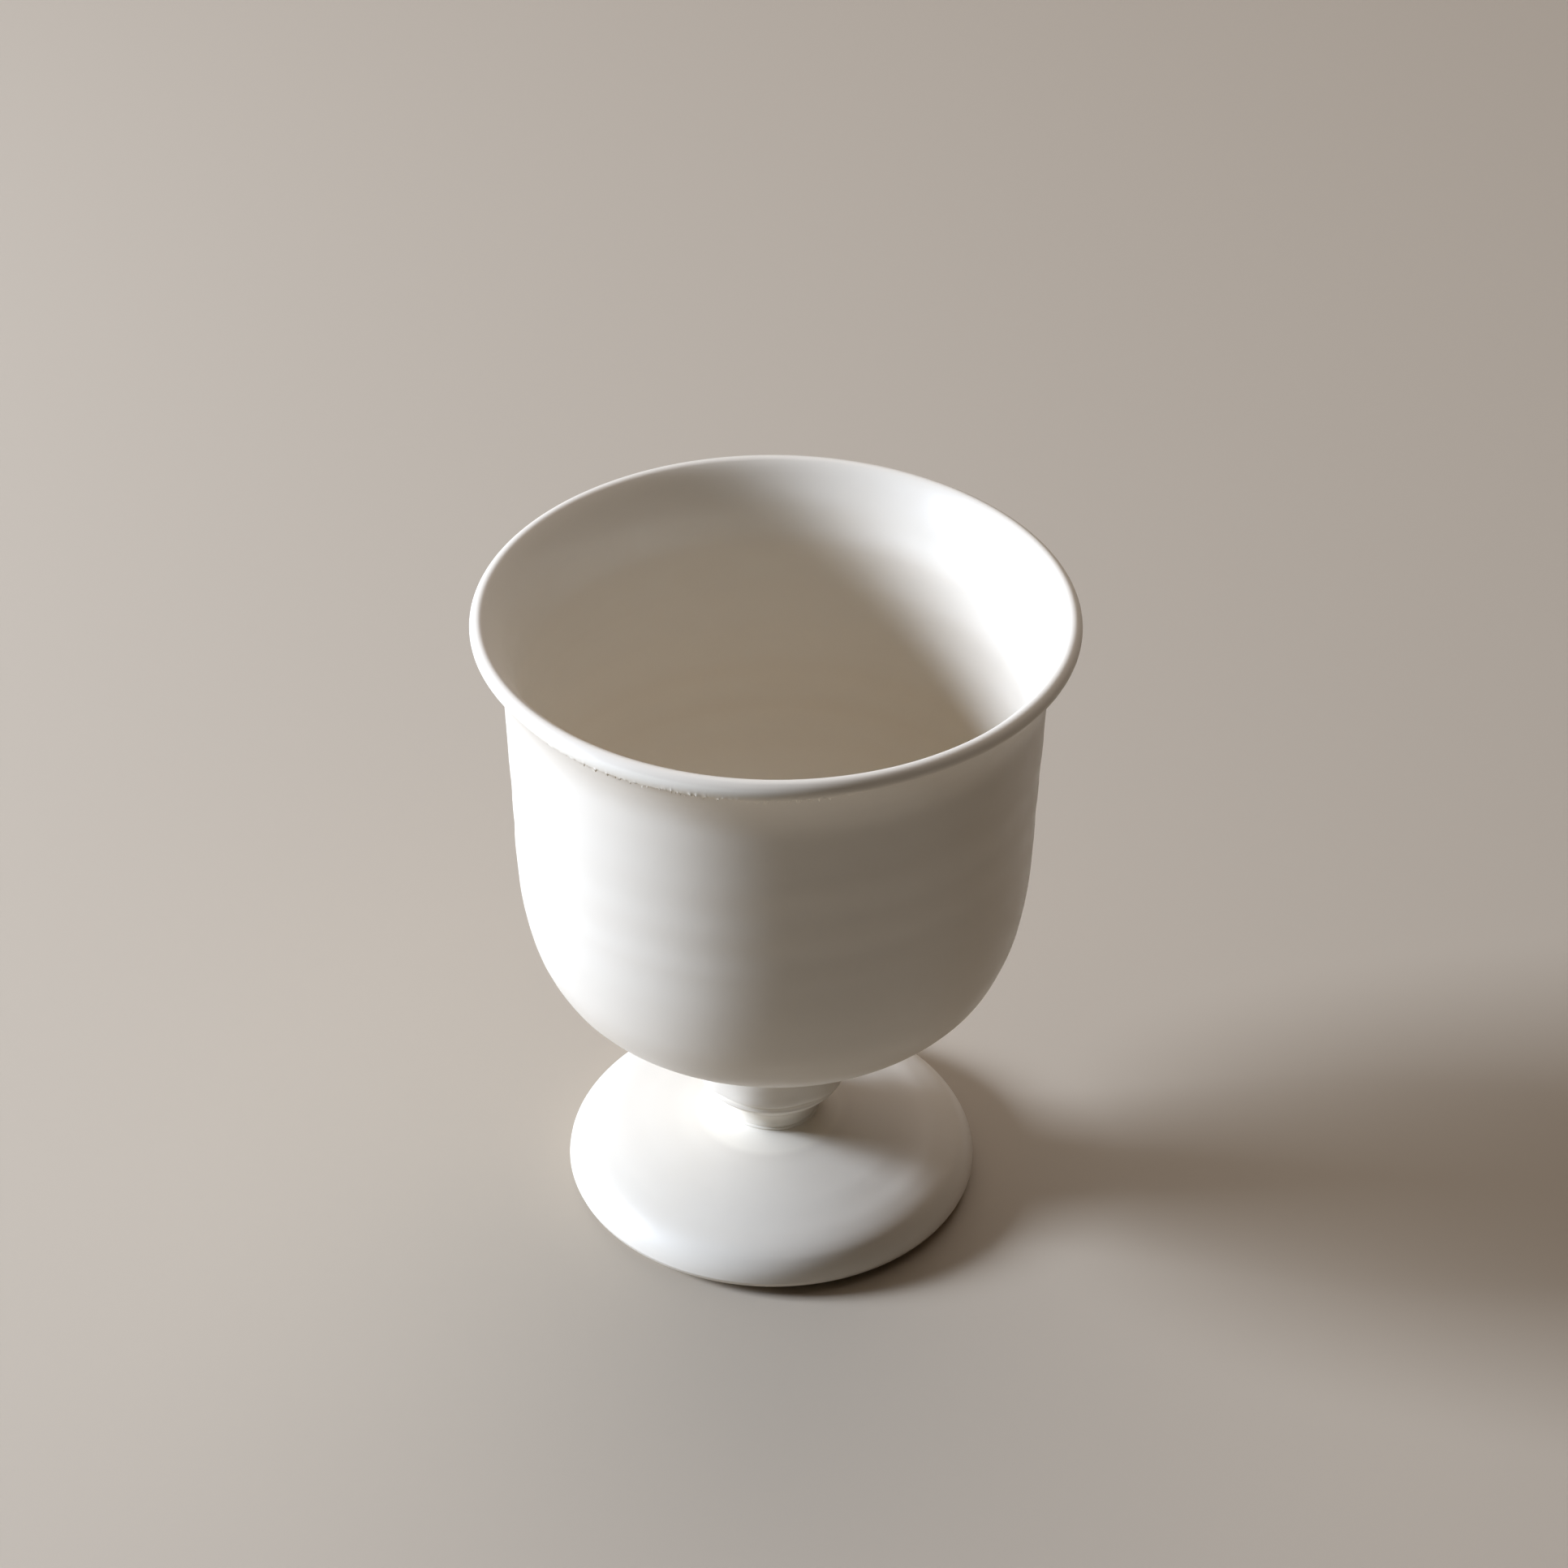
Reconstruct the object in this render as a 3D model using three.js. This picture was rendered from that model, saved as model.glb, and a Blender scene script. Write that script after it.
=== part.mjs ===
// Communion chalice in thrown and glazed stoneware: a deep cup with a turned-out lip, carried by a
// short stem on a disc foot. The lumps of clay are cemented with slip, and a coil is luted round
// the joint under the cup. Millimetres, +Z up, origin at the centre of the foot's underside.
import * as THREE from 'three';

// Driving dimensions.
const HEIGHT = 112;
const RIM_RADIUS = 47.5;
const FOOT_RADIUS = 34.3;
const LIP_ROUND = 1.25;
const BOWL_BASE_Z = 37.4;
const COIL_LOW_Z = 22;
const NECK_RADIUS = 11.2;
const SHOULDER_RADIUS = 12.2;
const WAIST_RADIUS = 7;
const FOOT_TOP_Z = 13.4;
const SLIP = 0.5;
const GAP = 0.3;

// Facets round the axis.
const WIDE_FACETS = 72;
const SLIM_FACETS = 48;

// Outlines are built from points and curves of (radius, z), and turned round the Z axis.
const at = (radius, z) => new THREE.Vector2(radius, z);
const heading = (degrees) => at(Math.cos(degrees * THREE.MathUtils.DEG2RAD),
  Math.sin(degrees * THREE.MathUtils.DEG2RAD));

// A curve that leaves `from` along one heading and reaches `to` along another, both in degrees.
// Each pull says how far the curve holds to its heading.
function sweep(from, leaving, pullOut, to, arriving, pullIn, steps) {
  const near = from.clone().addScaledVector(heading(leaving), pullOut);
  const far = to.clone().addScaledVector(heading(arriving), -pullIn);
  return new THREE.CubicBezierCurve(from, near, far, to).getPoints(steps);
}

function round(centre, radius, fromDegrees, toDegrees, steps) {
  const turn = (toDegrees - fromDegrees) / steps;
  const corners = Array.from({ length: steps + 1 }, (_, i) => fromDegrees + turn * i);
  return corners.map((angle) => centre.clone().addScaledVector(heading(angle), radius));
}

// Joins the stretches of an outline into one list, dropping a point that repeats the last one.
function outline(...stretches) {
  const points = stretches.flat();
  return points.filter((p, i) => i === 0 || p.distanceTo(points[i - 1]) > 1e-6);
}

const closed = (points) => [...points, points[0]];

function turned(name, points, facets, material) {
  const geometry = new THREE.LatheGeometry(points, facets);
  geometry.rotateX(Math.PI / 2);
  const mesh = new THREE.Mesh(geometry, material);
  mesh.name = name;
  return mesh;
}

const finish = (color, roughness) => new THREE.MeshStandardMaterial({ color, roughness, metalness: 0 });
const glaze = finish(0xe9e6df, 0.38);
const driedSlip = finish(0xd8d0c2, 0.9);

// The cup: trimmed flat base, round belly, nearly upright wall, hollowed neck and rolled lip.
function bowl() {
  const padRadius = 12;
  const floorZ = BOWL_BASE_Z + 5.2;
  const lip = at(RIM_RADIUS - LIP_ROUND, HEIGHT - LIP_ROUND);
  const under = at(13.9, BOWL_BASE_Z + 0.7);
  const belly = at(41.65, 73);
  const neck = at(42.6, 98);
  const innerBelly = at(belly.x - 3.2, belly.y);
  const innerNeck = at(neck.x - 2.5, neck.y);
  const bead = round(lip, LIP_ROUND, -35, 130, 9);
  const outside = [
    sweep(under, 7.5, 19.2, belly, 89.4, 30.3, 13),
    sweep(belly, 89.4, 6.9, neck, 88.3, 7, 3),
    sweep(neck, 88.3, 5, bead[0], 55, 4, 6),
  ];
  const inside = [
    sweep(bead.at(-1), 220, 3, innerNeck, 268.5, 5, 5),
    sweep(innerNeck, 268.5, 8, innerBelly, 270, 8, 3),
    sweep(innerBelly, 270, 24, at(0, floorZ), 180, 24, 13),
  ];
  const base = [at(0, BOWL_BASE_Z), at(padRadius, BOWL_BASE_Z)];
  return outline(base, ...outside, bead, ...inside);
}

// The coil: its back follows the stem's neck and the cup's underside. Its face rises steeply from a
// soft roll and turns out under the cup.
function joinCoil() {
  const back = NECK_RADIUS + GAP;
  const roll = at(back + 0.8, COIL_LOW_Z + 0.8);
  const rollOutline = round(roll, 0.8, 180, 350, 8);
  const cupSide = BOWL_BASE_Z + 0.9;
  return outline(
    rollOutline,
    sweep(rollOutline.at(-1), 84, 5, at(17.5, cupSide), 12, 3, 8),
    [at(14, BOWL_BASE_Z + 0.4), at(12, BOWL_BASE_Z - GAP), at(back, BOWL_BASE_Z - GAP)],
  );
}

// The stem: a waist that opens like an upturned cone to a round shoulder, and a plain neck inside
// the coil.
function stem() {
  const top = BOWL_BASE_Z - SLIP;
  const bottom = FOOT_TOP_Z + SLIP;
  const shoulder = at(SHOULDER_RADIUS, 20.7);
  const flank = at(8.9, 17.4);
  return outline(
    [at(0, bottom)],
    sweep(at(WAIST_RADIUS, bottom), 88, 1.3, flank, 46, 1.4, 5),
    sweep(flank, 46, 2, shoulder, 88, 1, 4),
    sweep(shoulder, 88, 0.5, at(NECK_RADIUS, COIL_LOW_Z - 0.2), 150, 0.5, 4),
    [at(NECK_RADIUS, COIL_LOW_Z + 0.4), at(NECK_RADIUS, top), at(0, top)],
  );
}

// The foot: a thick disc with a full round edge, rising gently and then flaring into the waist,
// with a foot ring and a shallow hollow beneath.
function foot() {
  const side = at(FOOT_RADIUS, 2.8);
  const brow = at(31.3, 7.3);
  const slope = at(14.5, 11.3);
  return outline(
    sweep(at(0, 3.6), 0, 13, at(25.4, 1.4), -55, 4, 6),
    [at(26.4, 0)],
    sweep(at(31.2, 0), 42, 1.5, side, 92, 1.2, 4),
    sweep(side, 92, 1.8, brow, 152, 1.5, 6),
    sweep(brow, 152, 3.2, slope, 171, 6, 7),
    sweep(slope, 171, 4, at(WAIST_RADIUS, FOOT_TOP_Z), 90, 1.3, 7),
    [at(0, FOOT_TOP_Z)],
  );
}

function disc(radius, lowZ) {
  return [at(0, lowZ), at(radius, lowZ), at(radius, lowZ + SLIP), at(0, lowZ + SLIP)];
}

const chalice = new THREE.Group();
chalice.add(
  turned('bowl', bowl(), WIDE_FACETS, glaze),
  turned('join_coil', closed(joinCoil()), SLIM_FACETS, glaze),
  turned('upper_slip', disc(NECK_RADIUS - GAP, BOWL_BASE_Z - SLIP), SLIM_FACETS, driedSlip),
  turned('stem', stem(), SLIM_FACETS, glaze),
  turned('lower_slip', disc(WAIST_RADIUS - GAP, FOOT_TOP_Z), SLIM_FACETS, driedSlip),
  turned('foot', foot(), WIDE_FACETS, glaze),
);

export default chalice;
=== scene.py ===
import math

import bmesh
import bpy
import numpy as np
from mathutils import Matrix, Vector


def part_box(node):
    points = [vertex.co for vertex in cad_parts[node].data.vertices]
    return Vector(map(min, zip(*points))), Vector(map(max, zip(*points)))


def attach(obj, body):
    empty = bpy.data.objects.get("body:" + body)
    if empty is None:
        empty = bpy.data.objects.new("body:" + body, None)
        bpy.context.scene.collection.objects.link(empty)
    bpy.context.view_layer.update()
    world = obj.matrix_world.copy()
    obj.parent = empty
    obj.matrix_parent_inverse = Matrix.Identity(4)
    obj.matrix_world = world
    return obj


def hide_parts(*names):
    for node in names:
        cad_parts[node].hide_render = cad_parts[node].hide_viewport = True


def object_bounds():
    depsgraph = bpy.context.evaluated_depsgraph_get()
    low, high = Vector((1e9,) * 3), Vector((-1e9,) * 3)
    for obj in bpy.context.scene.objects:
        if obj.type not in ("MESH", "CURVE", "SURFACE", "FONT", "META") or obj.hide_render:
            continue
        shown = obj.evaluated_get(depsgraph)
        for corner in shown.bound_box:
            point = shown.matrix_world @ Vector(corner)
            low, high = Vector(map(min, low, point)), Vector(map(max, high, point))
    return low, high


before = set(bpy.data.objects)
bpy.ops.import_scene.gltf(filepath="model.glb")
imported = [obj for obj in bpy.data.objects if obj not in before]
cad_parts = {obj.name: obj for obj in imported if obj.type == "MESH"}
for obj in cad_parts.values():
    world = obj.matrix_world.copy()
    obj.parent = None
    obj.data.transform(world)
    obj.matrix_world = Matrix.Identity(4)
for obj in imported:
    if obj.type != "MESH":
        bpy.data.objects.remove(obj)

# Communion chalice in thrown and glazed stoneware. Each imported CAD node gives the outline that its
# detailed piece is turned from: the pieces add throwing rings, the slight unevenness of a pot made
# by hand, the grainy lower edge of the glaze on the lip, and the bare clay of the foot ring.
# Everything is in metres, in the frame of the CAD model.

CAD_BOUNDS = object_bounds()
MM = 0.001
TURN = 2 * math.pi
TOP_Z = CAD_BOUNDS[1][2]
LIP_RADIUS = CAD_BOUNDS[1][0]

# The camera: where the photographer stood, aimed a little above the middle of the cup.
CAMERA_DISTANCE = 0.7007
CAMERA_ELEVATION = math.radians(40.987)
CAMERA_ROLL = math.radians(0.627)
CAMERA_TARGET = Vector((0.00145, 0, 0.07901))
CAMERA_LENS = 93.76
SENSOR = 36

# The cup is lit by a window on its left, a little above it. The ceiling, the wall behind and the
# wall on the right send a weak warm light back, and the pale floor lifts the shade.
PANELS = {
    "window": {
        "azimuth": 178, "elevation": 20.5, "distance": 1.3, "size": 0.36,
        "power": 37, "color": (0.71, 0.81, 1),
    },
    "ceiling": {
        "azimuth": 90, "elevation": 80, "distance": 1.8, "size": 1.6,
        "power": 8.2, "color": (1, 0.96, 0.94),
    },
    "wall_behind": {
        "azimuth": 90, "elevation": 45, "distance": 1.8, "size": 1.6,
        "power": 7.3, "color": (1, 0.93, 0.92),
    },
    "wall_right": {
        "azimuth": 20, "elevation": 60, "distance": 1.8, "size": 1.6,
        "power": 2.4, "color": (1, 0.72, 0.55),
    },
}
FLOOR_COLOR = (0.48, 0.41, 0.32)
FLOOR_HALF = 8

# How outlines are refined: turns sharper than this stay corners, each stretch of the CAD outline
# gets at least this many steps, and steps are shorter on the lip.
CORNER_DEGREES = 28
FEWEST_STEPS = 2
WALL_STEP = 1.2 * MM
SLIM_STEP = 0.6 * MM
LIP_STEP = 0.2 * MM
LIP_DEPTH = 6 * MM

# Columns round the axis, crowded towards the front left, where the lip's glaze is grainy. The
# outer side of the lip has FINER columns for each of the wall's.
BOWL_COLUMNS = 280
FOOT_COLUMNS = 320
SLIM_COLUMNS = 200
FINER = 3
GRAINY_AZIMUTH = math.radians(252)
CROWDING = 0.7

# The front of the rim stands inward of a true circle and above it.
FRONT_AZIMUTH = math.radians(280)
FRONT_SPREAD = 1.2
FRONT_INWARD = 0.6 * MM
FRONT_RISE = 0.55 * MM

# How far the foot and the coil reach into their neighbours, so that the glaze runs over the joints.
OVERLAP = 0.06 * MM
PRESSED = 0.4 * MM

# How far slip fills out the waist of the stem, where it meets the foot.
WAIST_FILL = 0.9 * MM

# Points nearer the axis than this are on it, and relief fades out towards it.
AXIS_RADIUS = 0.001 * MM
CALM_RADIUS = 4 * MM

# The vertex attribute that tells the glaze where it runs thin over a ridge or lies thick, and where
# it is whitened on the lip's front left, partly as a painted highlight.
RIDGE = "ridge"


def direction(azimuth, elevation):
    level = math.cos(elevation)
    return Vector((level * math.cos(azimuth), level * math.sin(azimuth), math.sin(elevation)))


# ---------------------------------------------------------------- camera, light and floor


def add_camera():
    place = direction(math.radians(-90), CAMERA_ELEVATION) * CAMERA_DISTANCE
    forward = (CAMERA_TARGET - place).normalized()
    right = forward.cross(Vector((0, 0, 1))).normalized()
    up = right.cross(forward)
    across = right * math.cos(CAMERA_ROLL) + up * math.sin(CAMERA_ROLL)
    upward = up * math.cos(CAMERA_ROLL) - right * math.sin(CAMERA_ROLL)
    data = bpy.data.cameras.new("camera")
    data.lens = CAMERA_LENS
    data.sensor_width = SENSOR
    camera = bpy.data.objects.new("camera", data)
    axes = Matrix((across, upward, -forward)).transposed().to_4x4()
    camera.matrix_world = Matrix.Translation(place) @ axes
    bpy.context.scene.collection.objects.link(camera)
    bpy.context.scene.camera = camera


def add_panel(name, azimuth, elevation, distance, size, power, color):
    """A soft square light that faces the cup, its angles in degrees."""
    data = bpy.data.lights.new(name, "AREA")
    data.shape = "SQUARE"
    data.size = size
    data.energy = power
    data.color = color
    light = bpy.data.objects.new(name, data)
    away = direction(math.radians(azimuth), math.radians(elevation))
    light.location = away * distance + Vector((0, 0, TOP_Z / 2))
    light.rotation_mode = "QUATERNION"
    light.rotation_quaternion = away.to_track_quat("Z", "Y")
    bpy.context.scene.collection.objects.link(light)


def add_world():
    """A dark room: all the light comes from the panels."""
    world = bpy.data.worlds.new("studio")
    world.use_nodes = True
    world.node_tree.nodes["Background"].inputs["Color"].default_value = (0, 0, 0, 1)
    bpy.context.scene.world = world


def add_floor():
    mesh = bpy.data.meshes.new("floor")
    corners = [(x * FLOOR_HALF, y * FLOOR_HALF, 0) for x, y in ((-1, -1), (1, -1), (1, 1), (-1, 1))]
    mesh.from_pydata(corners, [], [(0, 1, 2, 3)])
    floor = bpy.data.objects.new("floor", mesh)
    bpy.context.scene.collection.objects.link(floor)
    material = bpy.data.materials.new("floor")
    material.use_nodes = True
    shader = material.node_tree.nodes["Principled BSDF"]
    shader.inputs["Base Color"].default_value = (*FLOOR_COLOR, 1)
    shader.inputs["Roughness"].default_value = 0.7
    mesh.materials.append(material)


# ---------------------------------------------------------------- outlines read from the frame


def section(node):
    """The outline of a turned CAD node as ordered (radius, z) points, from its cut along +X."""
    bm = bmesh.new()
    bm.from_mesh(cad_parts[node].data)
    bmesh.ops.remove_doubles(bm, verts=bm.verts, dist=1e-6)
    geometry = [*bm.verts, *bm.edges, *bm.faces]
    cut = bmesh.ops.bisect_plane(
        bm, geom=geometry, dist=2e-6, plane_co=(0, 0, 0), plane_no=(0, 1, 0)
    )["geom_cut"]
    links = {}
    for edge in cut:
        if isinstance(edge, bmesh.types.BMEdge) and min(v.co.x for v in edge.verts) > -1e-6:
            a, b = edge.verts
            links.setdefault(a, []).append(b)
            links.setdefault(b, []).append(a)
    ends = [v for v, others in links.items() if len(others) == 1]
    start = min(ends or links, key=lambda v: (v.co.z, v.co.x))
    walked, here, before = [start], start, None
    while True:
        onward = [v for v in links[here] if v is not before]
        if not onward or onward[0] is start:
            break
        here, before = onward[0], here
        walked.append(here)
    points = np.array([(v.co.x, v.co.z) for v in walked])
    bm.free()
    return points


def spline(points, counts):
    """A natural cubic spline through points, with counts[i] steps between points i and i + 1."""
    knots = np.concatenate([[0], np.cumsum(np.linalg.norm(np.diff(points, axis=0), axis=1))])
    gaps = np.diff(knots)
    slopes = np.diff(points, axis=0) / gaps[:, None]
    system = np.eye(len(points))
    target = np.zeros_like(points)
    for i in range(1, len(points) - 1):
        system[i, i - 1 : i + 2] = gaps[i - 1], 2 * (gaps[i - 1] + gaps[i]), gaps[i]
        target[i] = 6 * (slopes[i] - slopes[i - 1])
    bend = np.linalg.solve(system, target)
    made = [points[:1]]
    for i, count in enumerate(counts):
        u = (np.arange(1, count + 1) / count * gaps[i])[:, None]
        rise = slopes[i] - gaps[i] * (2 * bend[i] + bend[i + 1]) / 6
        cubic = (bend[i + 1] - bend[i]) / (6 * gaps[i])
        made.append(points[i] + u * (rise + u * (bend[i] / 2 + u * cubic)))
    return np.concatenate(made)


def refined(points, steps, closed=False):
    """The outline with smooth stretches rounded by a spline and its corners kept sharp. steps
    gives the longest step in each stretch between two points."""
    loop = np.vstack([points, points[:1]]) if closed else points
    way = np.diff(loop, axis=0)
    way /= np.linalg.norm(way, axis=1)[:, None]
    turns = np.degrees(np.arccos(np.clip((way[1:] * way[:-1]).sum(1), -1, 1)))
    corners = [0, *(np.flatnonzero(turns > CORNER_DEGREES) + 1), len(loop) - 1]
    made = [loop[:1]]
    for first, last in zip(corners, corners[1:]):
        stretch = loop[first : last + 1]
        lengths = np.linalg.norm(np.diff(stretch, axis=0), axis=1)
        counts = np.maximum(FEWEST_STEPS, np.ceil(lengths / steps[first:last])).astype(int)
        if len(stretch) > 2:
            made.append(spline(stretch, counts)[1:])
        else:
            shares = np.arange(1, counts[0] + 1)[:, None] / counts[0]
            made.append(stretch[0] + shares * (stretch[1] - stretch[0]))
    outline = np.concatenate(made)
    return outline[:-1] if closed else outline


# ---------------------------------------------------------------- turning the pieces


def angles_round(count):
    """Azimuths once round the axis, crowded towards GRAINY_AZIMUTH."""
    even = np.arange(count) / count * TURN
    return even - CROWDING * np.sin(even - GRAINY_AZIMUTH)


def turned(name, outline, columns, relief, closed=False, fine=None):
    """A solid turned from an outline that keeps the clay on its left. relief(along, angle, radius,
    z) is how far the surface stands off the outline, along being measured from its highest point.
    Rows marked fine have more columns."""
    before, after = np.roll(outline, 1, axis=0), np.roll(outline, -1, axis=0)
    if not closed:
        before[0], after[-1] = outline[0], outline[-1]
    way = after - before
    way /= np.linalg.norm(way, axis=1)[:, None]
    along = np.concatenate([[0], np.cumsum(np.linalg.norm(np.diff(outline, axis=0), axis=1))])
    along -= along[np.argmax(outline[:, 1])]
    vertices, rows, ridges = [], [], []
    for i, (radius, z) in enumerate(outline):
        angle = angles_round(columns * FINER if fine is not None and fine[i] else columns)
        if radius < AXIS_RADIUS:
            angle = angle[:1]
        proud = relief(along[i], angle, radius, z) + np.zeros(len(angle))
        proud *= min(1, radius / CALM_RADIUS)
        reach, height = by_hand(radius + way[i, 1] * proud, angle, z - way[i, 0] * proud)
        rows.append(np.arange(len(angle)) + len(ridges))
        vertices.append(np.column_stack([reach * np.cos(angle), reach * np.sin(angle), height]))
        ridges.extend(proud)
    pairs = list(zip(rows, rows[1:] + rows[:1])) if closed else list(zip(rows, rows[1:]))
    faces = [face for lower, upper in pairs for face in bridge(lower, upper)]
    return mesh_object(name, np.concatenate(vertices), faces, ridges)


def bridge(lower, upper):
    """The faces between two rows of vertex numbers. Either row may be a single point, or have
    FINER times as many columns as the other."""
    low_next, up_next = np.roll(lower, -1), np.roll(upper, -1)
    if len(lower) == 1:
        return np.column_stack([np.repeat(lower, len(upper)), up_next, upper]).tolist()
    if len(upper) == 1:
        return np.column_stack([lower, low_next, np.repeat(upper, len(lower))]).tolist()
    if len(lower) == len(upper):
        return np.column_stack([lower, low_next, up_next, upper]).tolist()
    if len(lower) < len(upper):
        first, second, third = upper[0::FINER], upper[1::FINER], upper[2::FINER]
        fourth = np.roll(first, -1)
        middle = np.column_stack([lower, low_next, third, second])
        sides = [
            np.column_stack([lower, second, first]),
            np.column_stack([low_next, fourth, third]),
        ]
    else:
        first, second, third = lower[0::FINER], lower[1::FINER], lower[2::FINER]
        fourth = np.roll(first, -1)
        middle = np.column_stack([second, third, up_next, upper])
        sides = [
            np.column_stack([first, second, upper]),
            np.column_stack([third, fourth, up_next]),
        ]
    return middle.tolist() + sides[0].tolist() + sides[1].tolist()


def mesh_object(name, vertices, faces, ridges):
    """The mesh, with each vertex's height above the plain outline kept as RIDGE, in millimetres."""
    mesh = bpy.data.meshes.new(name)
    mesh.from_pydata(vertices.tolist(), [], faces)
    mesh.shade_smooth()
    mesh.set_sharp_from_angle(angle=math.radians(CORNER_DEGREES))
    height = mesh.attributes.new(RIDGE, "FLOAT", "POINT")
    height.data.foreach_set("value", np.array(ridges) / MM)
    made = bpy.data.objects.new(name, mesh)
    bpy.context.scene.collection.objects.link(made)
    return made


def by_hand(radius, angle, z):
    """The slight oval and lean that a pot made by hand has, growing from the foot to the rim."""
    share = np.clip(z / TOP_Z, 0, 1)
    oval = 0.14 * MM * share**2 * np.cos(2 * (angle - 0.6)) * min(1, np.max(radius) / (30 * MM))
    lift = 0.1 * MM * share**3 * (np.cos(angle - 2.1) + 0.6 * np.cos(3 * angle + 1) - 1)
    from_front = np.angle(np.exp(1j * (angle - FRONT_AZIMUTH)))
    front = share**8 * np.exp(-((from_front / FRONT_SPREAD) ** 2))
    return radius + oval - FRONT_INWARD * front, z + lift + FRONT_RISE * front


# ---------------------------------------------------------------- relief


def rings(along, angle, pitch, seed):
    """Throwing rings: a spiral ridge of this pitch, stronger in some places than in others."""
    phase, swing, turn = np.random.default_rng(seed).uniform(0, TURN, 3)
    strength = 0.6 + 0.4 * np.sin(TURN * along / (4.3 * pitch) + swing + 0.8 * np.sin(angle + turn))
    wander = 0.5 * np.sin(angle + phase) + 0.35 * np.sin(TURN * along / (2.7 * pitch) + turn)
    return strength * np.sin(TURN * along / pitch - angle + phase + wander)


def grains(along, angle, radius, size, seed):
    """Scattered bumps of about this size: nothing between them, and up to about 1 on them."""
    random = np.random.default_rng(seed)
    waves = 26
    total = 0
    for _ in range(waves):
        heading, phase = random.uniform(0, TURN, 2)
        whole_waves = round(TURN * radius / size * math.cos(heading))
        slant = TURN * along / size * math.sin(heading)
        total = total + np.cos(whole_waves * angle + slant + phase)
    return np.clip(total / math.sqrt(waves) - 0.35, 0, 1.4)


def between(value, low, high):
    """0 below low, 1 above high, and smooth in between."""
    share = np.clip((value - low) / (high - low), 0, 1)
    return share * share * (3 - 2 * share)


def bowl_relief(along, angle, radius, z):
    inside = along > 0
    calm = between(TOP_Z - z, 3 * MM, 9 * MM) * between(radius, 4 * MM, 16 * MM)
    if inside:
        marks = 0.11 * MM * rings(along, angle, 7.6 * MM, 7)
        marks += 0.03 * MM * rings(along, angle, 2.6 * MM, 9)
    else:
        marks = 0.05 * MM * rings(along, angle, 8.4 * MM, 3)
        marks += 0.016 * MM * rings(along, angle, 2.7 * MM, 5)
    return calm * marks + lip_relief(along, angle)


def lip_relief(along, angle):
    """Glaze that hangs from the lip to a grainy, broken edge, lowest and thickest at the front
    left. Its height also whitens the glaze colour there, partly as a painted highlight."""
    if along > 0 or along < -8 * MM:
        return np.zeros(len(angle))
    from_grainy = np.angle(np.exp(1j * (angle - GRAINY_AZIMUTH)))
    nearby = 0.12 + 0.88 * np.exp(-((from_grainy / 0.55) ** 4))
    ragged = grains(0.0, angle, LIP_RADIUS, 1.5 * MM, 21)
    ragged += 0.7 * grains(0.0, angle, LIP_RADIUS, 0.7 * MM, 22)
    edge = -(2.9 + nearby * (0.3 + 1.1 * ragged)) * MM
    above_edge = between(along, edge - 0.08 * MM, edge + 0.08 * MM)
    coat = 0.65 * MM * between(-along, 0.8 * MM, 3.1 * MM) * above_edge
    band = np.exp(-(((along - edge) / (0.45 * MM)) ** 2))
    crumbs = grains(along, angle, LIP_RADIUS, 0.95 * MM, 23)
    crumbs += 0.6 * grains(along, angle, LIP_RADIUS, 0.5 * MM, 24)
    return nearby * (coat + 0.16 * MM * band * crumbs)


def stem_relief(along, angle, radius, z):
    """Soft rings, and slip wiped into the groove under the coil and round the waist."""
    groove = 0.8 * MM * between(z, 20.9 * MM, 21.7 * MM) * between(24 * MM - z, 0, 1.5 * MM)
    waist = WAIST_FILL * between(18 * MM - z, 0, 4 * MM)
    marks = 0.1 * MM * rings(along, angle, 3.2 * MM, 11)
    return groove + waist + marks * between(z, 14.5 * MM, 16 * MM)


def coil_relief(along, angle, radius, z):
    pressed = 0.08 * MM * np.sin(7 * angle + 1) + 0.05 * MM * np.sin(11 * angle + 4)
    return 0.06 * MM * rings(along, angle, 3.6 * MM, 13) + pressed * between(28 * MM - z, 0, 6 * MM)


def foot_relief(along, angle, radius, z):
    """Faint rings on the top, and the lower end of the filled waist."""
    marks = 0.03 * MM * rings(along, angle, 6.1 * MM, 17)
    marks += 0.012 * MM * rings(along, angle, 2.2 * MM, 19)
    waist = WAIST_FILL * between(z, 11 * MM, 13.2 * MM)
    return marks * between(z, 3 * MM, 5 * MM) + waist


# ---------------------------------------------------------------- materials

# Colours are linear. The glaze is whitest where it lies thick, under the lip and in the grooves of
# the stem, and lets the warm clay through where it is thin. Under the lip, on the front left that
# faces the light, this whiter glaze is partly a painted highlight.
GLAZE_THICK_AND_HIGHLIGHT = (0.87, 0.8, 0.675, 1)
GLAZE_POOLED = (0.81, 0.745, 0.635, 1)
GLAZE_THIN = (0.78, 0.705, 0.59, 1)
BARE_CLAY = (0.47, 0.37, 0.27, 1)
DARK_CLAY = (0.36, 0.27, 0.19, 1)
DRIED_SLIP = (0.58, 0.5, 0.4, 1)
BARE_BELOW = 0.75 * MM


def new_material(name):
    material = bpy.data.materials.new(name)
    material.use_nodes = True
    tree = material.node_tree
    place = tree.nodes.new("ShaderNodeTexCoord").outputs["Object"]
    return material, tree, tree.nodes["Principled BSDF"], place


def noise(tree, place, size, detail=2.0):
    """Noise whose blobs are about this size, in metres."""
    made = tree.nodes.new("ShaderNodeTexNoise")
    made.inputs["Scale"].default_value = 1 / size
    made.inputs["Detail"].default_value = detail
    tree.links.new(place, made.inputs["Vector"])
    return made.outputs["Fac"]


def remap(tree, value, low, high, to_low=0.0, to_high=1.0):
    made = tree.nodes.new("ShaderNodeMapRange")
    ends = {"From Min": low, "From Max": high, "To Min": to_low, "To Max": to_high}
    for name, end in ends.items():
        made.inputs[name].default_value = end
    tree.links.new(value, made.inputs["Value"])
    return made.outputs["Result"]


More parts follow.
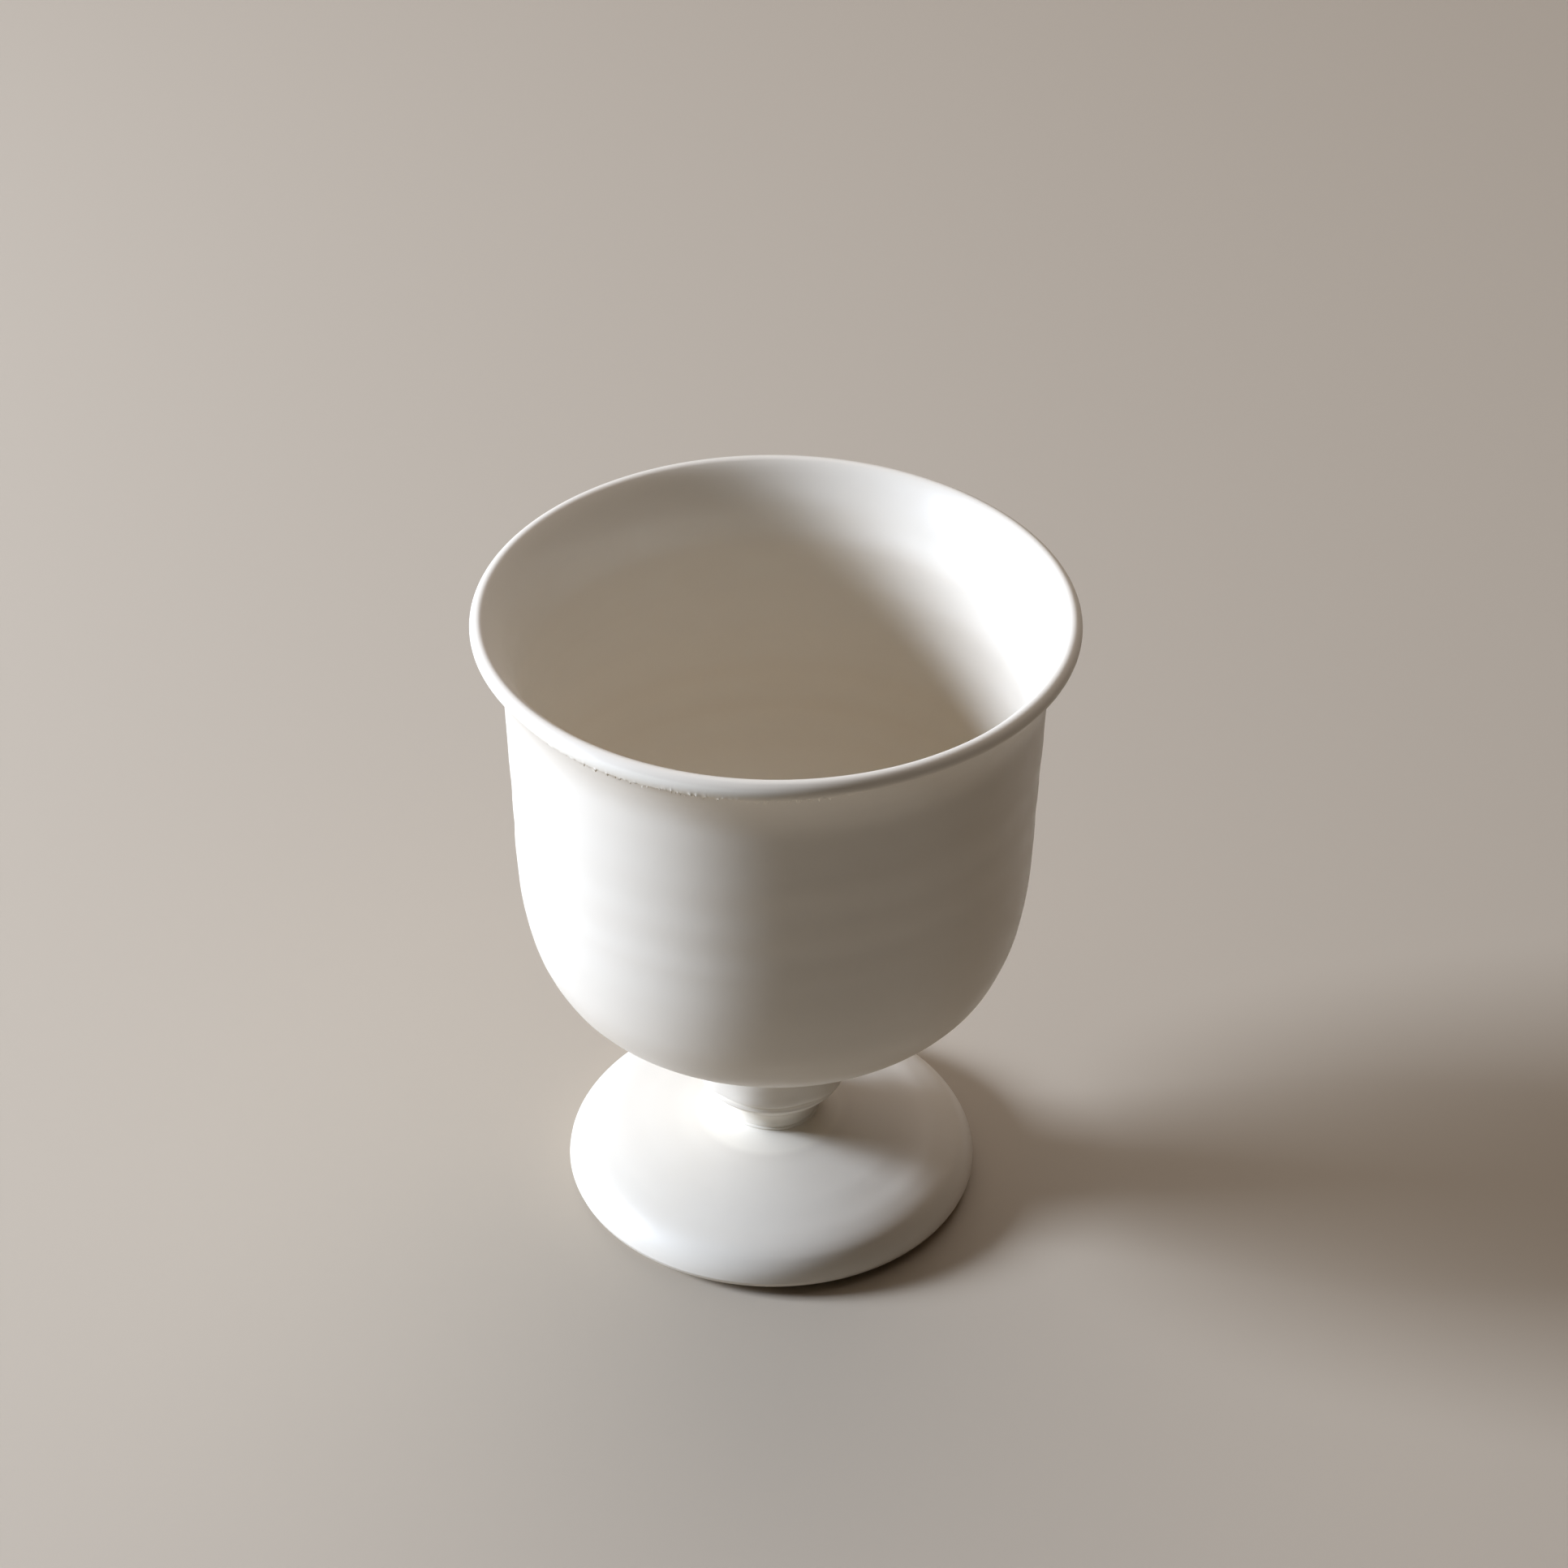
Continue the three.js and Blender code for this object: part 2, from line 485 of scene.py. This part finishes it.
def combine(tree, operation, first, second):
    """A math node. Each term is a socket or a number."""
    made = tree.nodes.new("ShaderNodeMath")
    made.operation = operation
    for term, socket in zip((first, second), made.inputs):
        if isinstance(term, bpy.types.NodeSocket):
            tree.links.new(term, socket)
        else:
            socket.default_value = term
    return made.outputs["Value"]


def blend(tree, factor, first, second):
    """A colour between two others. Each colour is a socket or four numbers."""
    made = tree.nodes.new("ShaderNodeMix")
    made.data_type = "RGBA"
    tree.links.new(factor, made.inputs["Factor"])
    colors = [socket for socket in made.inputs if socket.type == "RGBA"]
    for color, socket in zip((first, second), colors):
        if isinstance(color, bpy.types.NodeSocket):
            tree.links.new(color, socket)
        else:
            socket.default_value = color
    return next(socket for socket in made.outputs if socket.type == "RGBA")


def bump(tree, shader, height, distance):
    made = tree.nodes.new("ShaderNodeBump")
    made.inputs["Strength"].default_value = 1.0
    made.inputs["Distance"].default_value = distance
    tree.links.new(height, made.inputs["Height"])
    tree.links.new(made.outputs["Normal"], shader.inputs["Normal"])


def ridge_height(tree):
    made = tree.nodes.new("ShaderNodeAttribute")
    made.attribute_name = RIDGE
    return made.outputs["Fac"]


def glaze_color(tree, place):
    """Satin white glaze: a little cloudy, thin on ridges and thick where much was added. The thick
    glaze is whiter, and on the lip's front left that whiteness is partly a painted highlight.
    """
    clouds = remap(tree, noise(tree, place, 14 * MM, 3), 0.3, 0.7)
    ridge = ridge_height(tree)
    thin = remap(tree, ridge, -0.1, 0.1, 0.0, 0.6)
    share = combine(tree, "MAXIMUM", combine(tree, "MULTIPLY", clouds, 0.55), thin)
    body = blend(tree, share, GLAZE_POOLED, GLAZE_THIN)
    # Whiter where the surface stands well proud: thick glaze in the stem's groove and waist, and a
    # partly painted highlight on the lip's front left.
    return blend(tree, remap(tree, ridge, 0.13, 0.24), body, GLAZE_THICK_AND_HIGHLIGHT)


def glaze_height(tree, place):
    """Orange peel over a slower unevenness."""
    peel = combine(tree, "MULTIPLY", noise(tree, place, 0.8 * MM, 1), 0.25)
    return combine(tree, "ADD", peel, noise(tree, place, 6 * MM, 1))


def glaze_material():
    material, tree, shader, place = new_material("satin_glaze")
    tree.links.new(glaze_color(tree, place), shader.inputs["Base Color"])
    roughness = remap(tree, noise(tree, place, 5 * MM), 0.3, 0.7, 0.34, 0.45)
    tree.links.new(roughness, shader.inputs["Roughness"])
    bump(tree, shader, glaze_height(tree, place), 0.02 * MM)
    return material


def foot_glaze_material():
    """The same glaze, wiped off the foot ring, where the grainy clay shows."""
    material, tree, shader, place = new_material("satin_glaze_and_bare_ring")
    axes = tree.nodes.new("ShaderNodeSeparateXYZ")
    tree.links.new(place, axes.inputs["Vector"])
    wiped = combine(tree, "MULTIPLY", noise(tree, place, 3 * MM, 3), 0.9 * MM)
    level = combine(tree, "ADD", axes.outputs["Z"], wiped)
    glazed = remap(tree, level, BARE_BELOW, BARE_BELOW + 0.15 * MM)
    grit = noise(tree, place, 0.35 * MM, 2)
    clay = blend(tree, remap(tree, grit, 0.35, 0.65), BARE_CLAY, DARK_CLAY)
    tree.links.new(blend(tree, glazed, clay, glaze_color(tree, place)), shader.inputs["Base Color"])
    tree.links.new(remap(tree, glazed, 0.0, 1.0, 0.85, 0.4), shader.inputs["Roughness"])
    rough_clay = combine(tree, "MULTIPLY", combine(tree, "SUBTRACT", 1.0, glazed), grit)
    clay_height = combine(tree, "MULTIPLY", rough_clay, 2.5)
    height = combine(tree, "ADD", glaze_height(tree, place), clay_height)
    bump(tree, shader, height, 0.02 * MM)
    return material


def slip_material():
    material, tree, shader, place = new_material("dried_slip")
    grit = noise(tree, place, 0.4 * MM, 3)
    color = blend(tree, remap(tree, grit, 0.3, 0.7), DRIED_SLIP, BARE_CLAY)
    tree.links.new(color, shader.inputs["Base Color"])
    tree.links.new(remap(tree, grit, 0.0, 1.0, 0.8, 0.95), shader.inputs["Roughness"])
    bump(tree, shader, grit, 0.05 * MM)
    return material


# ---------------------------------------------------------------- the pieces


def even_steps(points, length):
    return np.full(len(points), length)


def outer_lip(points):
    """Which of the cup's outline points lie on the outer side of its lip."""
    before_top = np.arange(len(points)) <= points[:, 1].argmax()
    return before_top & (points[:, 1] > TOP_Z - LIP_DEPTH)


def bowl():
    outline = section("bowl")
    outline = refined(outline, np.where(outer_lip(outline)[1:], LIP_STEP, WALL_STEP))
    return turned("bowl_glazed", outline, BOWL_COLUMNS, bowl_relief, fine=outer_lip(outline))


def join_coil():
    """The coil with its back pressed into the stem and its top into the cup, closing the joints."""
    outline = section("join_coil")
    back = outline[:, 0] < outline[:, 0].min() + 0.01 * MM
    outline[back, 0] -= PRESSED
    outline[:, 1] += PRESSED * between(outline[:, 1], 34 * MM, 37 * MM)
    outline = refined(outline, even_steps(outline, SLIM_STEP), closed=True)
    return turned("join_coil_glazed", outline, SLIM_COLUMNS, coil_relief, closed=True)


def stem():
    outline = section("stem")
    outline = refined(outline, even_steps(outline, SLIM_STEP))
    return turned("stem_glazed", outline, SLIM_COLUMNS, stem_relief)


def foot():
    """The foot with its top raised through the slip into the stem, closing the joint."""
    outline = section("foot")
    top = outline[:, 1] > outline[:, 1].max() - 0.01 * MM
    outline[top, 1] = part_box("lower_slip")[1].z + OVERLAP
    outline = refined(outline, even_steps(outline, WALL_STEP))
    return turned("foot_glazed", outline, FOOT_COLUMNS, foot_relief)


def add_chalice():
    glaze, foot_glaze, slip = glaze_material(), foot_glaze_material(), slip_material()
    pieces = {"bowl": bowl(), "join_coil": join_coil(), "stem": stem(), "foot": foot()}
    for node, piece in pieces.items():
        piece.data.materials.append(foot_glaze if node == "foot" else glaze)
        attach(piece, "root")
        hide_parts(node)
    for node in ("upper_slip", "lower_slip"):
        hidden_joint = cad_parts[node].data
        hidden_joint.materials.clear()
        hidden_joint.materials.append(slip)


add_camera()
for name, settings in PANELS.items():
    add_panel(name, **settings)
add_world()
add_floor()
add_chalice()
bpy.context.scene.view_settings.view_transform = "Standard"
